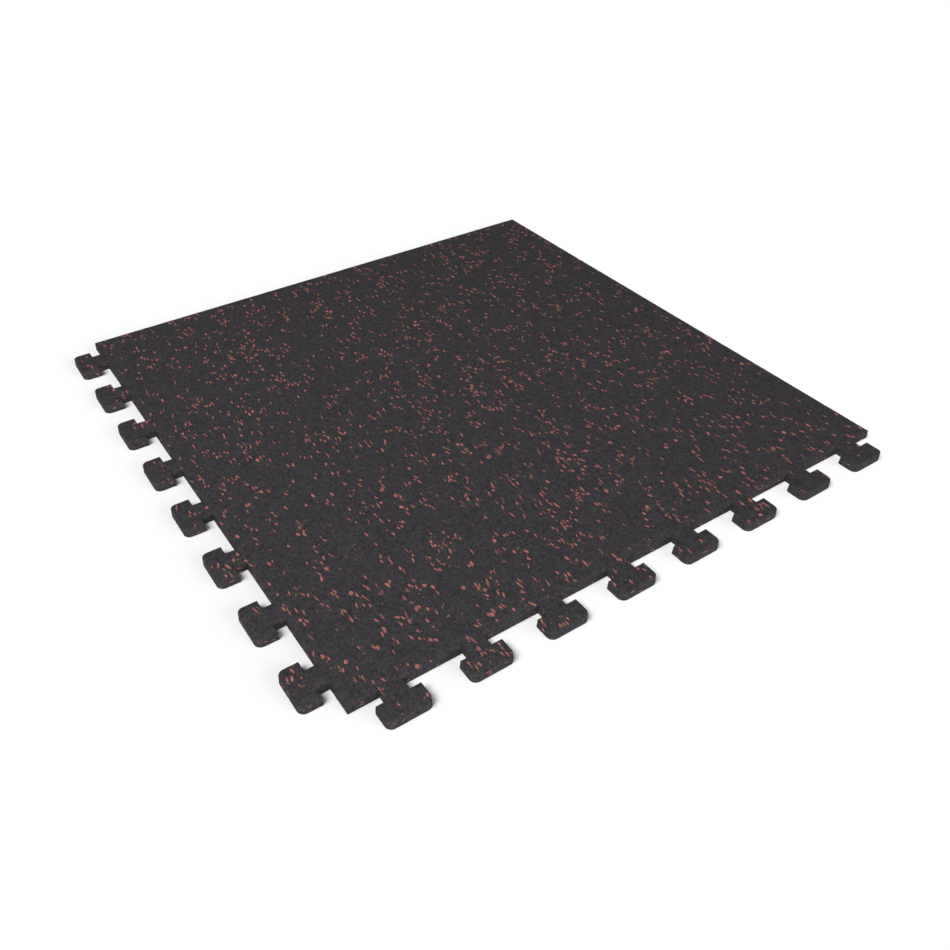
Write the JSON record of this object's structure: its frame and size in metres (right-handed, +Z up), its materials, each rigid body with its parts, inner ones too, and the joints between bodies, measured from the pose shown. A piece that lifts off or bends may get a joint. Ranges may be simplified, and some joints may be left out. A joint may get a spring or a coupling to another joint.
{
  "type": "rubber gym floor tile",
  "caption": "Square bonded-rubber gym floor tile, corner piece: T-shaped interlocking tabs along two adjacent sides, two straight sides, charcoal crumb with red flecks.",
  "frame": {"origin": "middle of the bounding box, tabs included, on the underside that rests on the floor", "axes": "+Z up through the thickness, out of the walking face; +X out of the straight right edge; +Y out of the straight back edge; the tabs point to -X and -Y"},
  "size_m": [0.64, 0.64, 0.009],
  "materials": {
    "crumb_rubber": "matte"
  },
  "bodies": {
    "root": {"rubber_tile": "crumb_rubber"}
  },
  "joints": []
}
